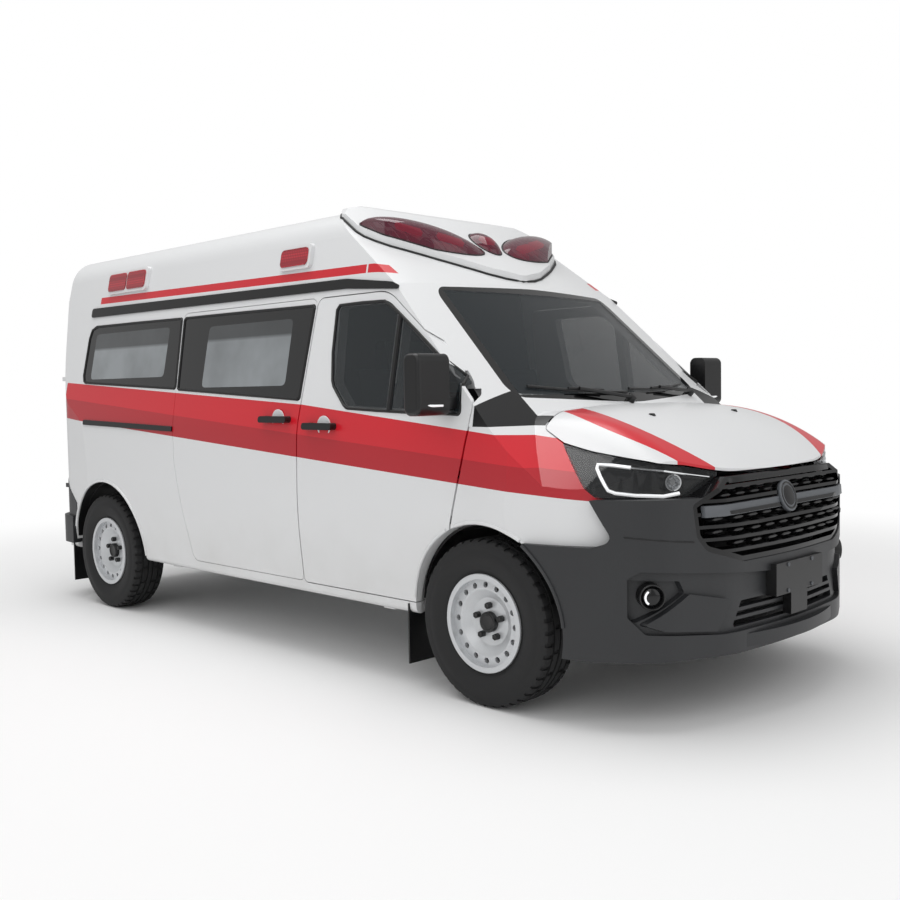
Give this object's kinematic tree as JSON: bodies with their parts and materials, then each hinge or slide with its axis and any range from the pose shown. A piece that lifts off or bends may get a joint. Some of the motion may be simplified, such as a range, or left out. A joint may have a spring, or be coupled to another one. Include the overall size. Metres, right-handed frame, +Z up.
{
  "type": "high-roof van ambulance",
  "caption": "High-roof van ambulance with hollow cab and patient space, hinged doors and bonnet, steered and rolling wheels, roof and side warning lamps.",
  "frame": {"origin": "on the ground, at the middle of the vehicle's length and width", "axes": "+X forward, +Y to the vehicle's left, +Z up"},
  "size_m": [5.0598, 2.41, 2.3878],
  "materials": {
    "white_paint": "gloss white paint",
    "dark_glass": "tinted glass",
    "black_trim": "black plastic",
    "grey_plastic": "grained dark grey plastic",
    "clear_lens": "clear lamp cover",
    "red_lens": "red lamp cover",
    "dark_metal": "black chassis paint",
    "wheel_silver": "silver wheel paint",
    "tyre_rubber": "tyre rubber",
    "cab_plastic": "grained cab plastic",
    "seat_cloth": "woven seat cloth"
  },
  "bodies": {
    "vehicle": {"roof": "white_paint", "floor_pan": "white_paint", "cowl": "white_paint", "side_right": "white_paint", "side_left": "white_paint", "sliding_door": "white_paint", "wings": "white_paint", "roof_lamp_base": "white_paint", "side_lamp_bezels": "white_paint", "windscreen": "dark_glass", "side_glass": "dark_glass", "sliding_door_glass": "dark_glass", "sail_panels": "black_trim", "side_trims": "black_trim", "mudflaps": "black_trim", "arch_liners": "black_trim", "grille": "black_trim", "plate_bracket": "black_trim", "front_bumper": "grey_plastic", "rear_bumper": "grey_plastic", "headlamps": "clear_lens", "tail_lamps": "red_lens", "roof_lamp_lenses": "red_lens", "side_lamp_lenses": "red_lens", "front_suspension": "dark_metal", "rear_axle": "dark_metal", "frame_rails": "dark_metal", "engine": "dark_metal", "radiator": "dark_metal", "dashboard": "cab_plastic", "steering_wheel": "cab_plastic", "partition": "cab_plastic", "seats": "seat_cloth"},
    "bonnet_body": {"bonnet": "white_paint"},
    "door_right": {"front_door_right": "white_paint", "front_door_glass_right": "dark_glass", "front_door_fittings_right": "black_trim"},
    "door_left": {"front_door_left": "white_paint", "front_door_glass_left": "dark_glass", "front_door_fittings_left": "black_trim"},
    "back_door_right": {"rear_door_right": "white_paint", "rear_door_glass_right": "dark_glass"},
    "back_door_left": {"rear_door_left": "white_paint", "rear_door_glass_left": "dark_glass"},
    "steer_right": {"knuckle_right": "dark_metal"},
    "steer_left": {"knuckle_left": "dark_metal"},
    "wheel_front_left": {"tyre_front_left": "tyre_rubber", "rim_front_left": "wheel_silver"},
    "wheel_front_right": {"tyre_front_right": "tyre_rubber", "rim_front_right": "wheel_silver"},
    "wheel_rear_left": {"tyre_rear_left": "tyre_rubber", "rim_rear_left": "wheel_silver"},
    "wheel_rear_right": {"tyre_rear_right": "tyre_rubber", "rim_rear_right": "wheel_silver"}
  },
  "joints": [
    {"name": "bonnet_hinge", "type": "hinge", "parent": "vehicle", "child": "bonnet_body", "pos_m": [1.79, 0, 1.266], "axis": [0, -1, 0], "range_deg": [0, 50]},
    {"name": "front_door_right_hinge", "type": "hinge", "parent": "vehicle", "child": "door_right", "pos_m": [1.372, -0.976, 1], "axis": [0, 0, 1], "range_deg": [0, 68]},
    {"name": "front_door_left_hinge", "type": "hinge", "parent": "vehicle", "child": "door_left", "pos_m": [1.372, 0.976, 1], "axis": [0, 0, -1], "range_deg": [0, 68]},
    {"name": "rear_door_right_hinge", "type": "hinge", "parent": "vehicle", "child": "back_door_right", "pos_m": [-2.514, -0.812, 1.1], "axis": [0, 0, 1], "range_deg": [0, 90]},
    {"name": "rear_door_left_hinge", "type": "hinge", "parent": "vehicle", "child": "back_door_left", "pos_m": [-2.514, 0.812, 1.1], "axis": [0, 0, -1], "range_deg": [0, 90]},
    {"name": "steer_left_kingpin", "type": "hinge", "parent": "vehicle", "child": "steer_left", "pos_m": [1.55, 0.7, 0.3645], "axis": [0, 0, 1], "range_deg": [-35, 35]},
    {"name": "steer_right_kingpin", "type": "hinge", "parent": "vehicle", "child": "steer_right", "pos_m": [1.55, -0.7, 0.3645], "axis": [0, 0, 1], "range_deg": [-35, 35]},
    {"name": "front_left_spin", "type": "hinge", "parent": "steer_left", "child": "wheel_front_left", "pos_m": [1.55, 0.868, 0.3645], "axis": [0, 1, 0], "continuous": true},
    {"name": "front_right_spin", "type": "hinge", "parent": "steer_right", "child": "wheel_front_right", "pos_m": [1.55, -0.868, 0.3645], "axis": [0, 1, 0], "continuous": true},
    {"name": "rear_left_spin", "type": "hinge", "parent": "vehicle", "child": "wheel_rear_left", "pos_m": [-1.75, 0.868, 0.3645], "axis": [0, 1, 0], "continuous": true},
    {"name": "rear_right_spin", "type": "hinge", "parent": "vehicle", "child": "wheel_rear_right", "pos_m": [-1.75, -0.868, 0.3645], "axis": [0, 1, 0], "continuous": true}
  ],
  "couplings": [
    {"joint": "steer_right_kingpin", "follows": "steer_left_kingpin", "ratio": 1}
  ]
}
